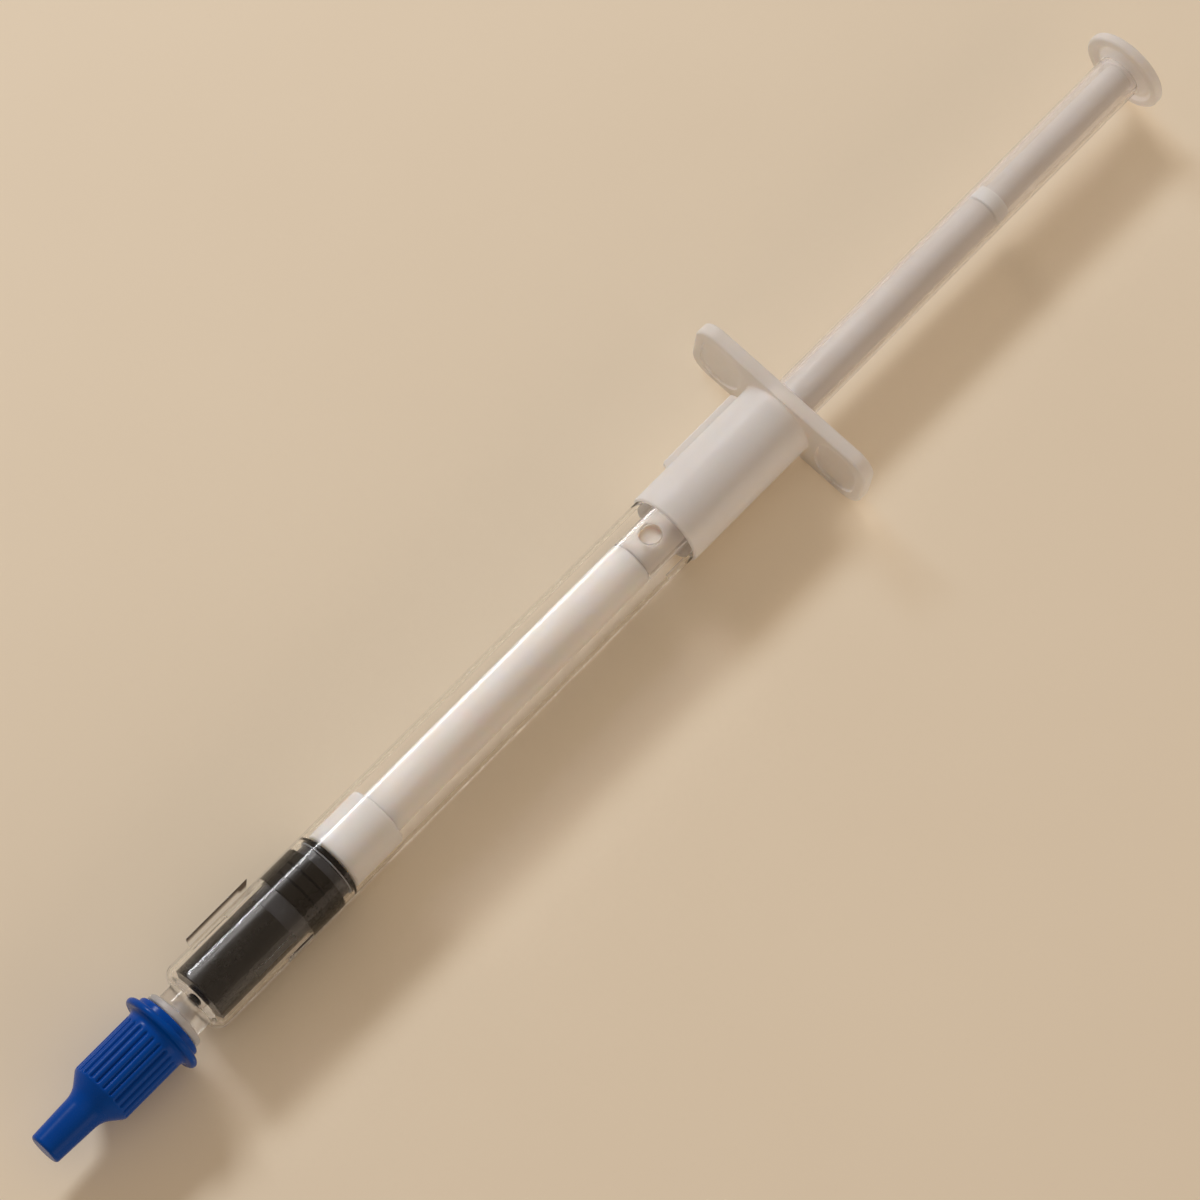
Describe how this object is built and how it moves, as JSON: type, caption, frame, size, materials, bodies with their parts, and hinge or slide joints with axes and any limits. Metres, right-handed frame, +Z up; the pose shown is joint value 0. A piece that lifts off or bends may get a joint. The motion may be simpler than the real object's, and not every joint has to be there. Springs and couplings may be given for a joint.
{
  "type": "thermal paste syringe",
  "caption": "Slim clear dosing syringe of dark thermal paste, with a fluted screw cap, rubber stopper, round plunger with thumb disc, and a push-on finger flange.",
  "frame": {"origin": "middle of the object's box at its base, on the surface that the syringe lies on", "axes": "+X along the syringe's axis from the cap to the thumb rest, +Z up from the surface that it lies on"},
  "size_m": [0.1822, 0.0264, 0.0109],
  "materials": {
    "clear_plastic": "clear gloss",
    "milky_plastic": "milky satin",
    "paste": "smooth paste",
    "blue_plastic": "satin",
    "liner_plastic": "milky",
    "black_rubber": "moulded",
    "white_plastic": "satin white",
    "frosted_plastic": "frosted"
  },
  "bodies": {
    "barrel": {"barrel": "clear_plastic", "finger_grip": "milky_plastic", "thermal_paste": "paste"},
    "stopper": {"stopper": "black_rubber", "wiper_ring": "black_rubber"},
    "plunger": {"piston_head": "white_plastic", "front_rod": "white_plastic", "plunger_tube": "frosted_plastic", "core_rod": "milky_plastic", "centring_ring": "white_plastic", "thumb_rest": "milky_plastic"},
    "liner": {"cap_liner": "liner_plastic"},
    "cap": {"tip_cap": "blue_plastic"}
  },
  "joints": [
    {"name": "plunger_slide", "type": "slide", "parent": "barrel", "child": "stopper", "axis": [-1, 0, 0], "range_m": [-0.0655, 0.0116], "deforming": ["thermal_paste"]},
    {"name": "plunger_turn", "type": "hinge", "parent": "stopper", "child": "plunger", "pos_m": [0, 0, 0.00545], "axis": [-1, 0, 0], "continuous": true},
    {"name": "cap_pull", "type": "slide", "parent": "barrel", "child": "liner", "axis": [-1, 0, 0], "range_m": [0, 0.0098]},
    {"name": "cap_turn", "type": "hinge", "parent": "liner", "child": "cap", "pos_m": [-0.08, 0, 0.00545], "axis": [-1, 0, 0], "range_deg": [0, 706]}
  ],
  "couplings": [
    {"joint": "cap_turn", "follows": "cap_pull", "rad_per_m": 1256.6}
  ]
}
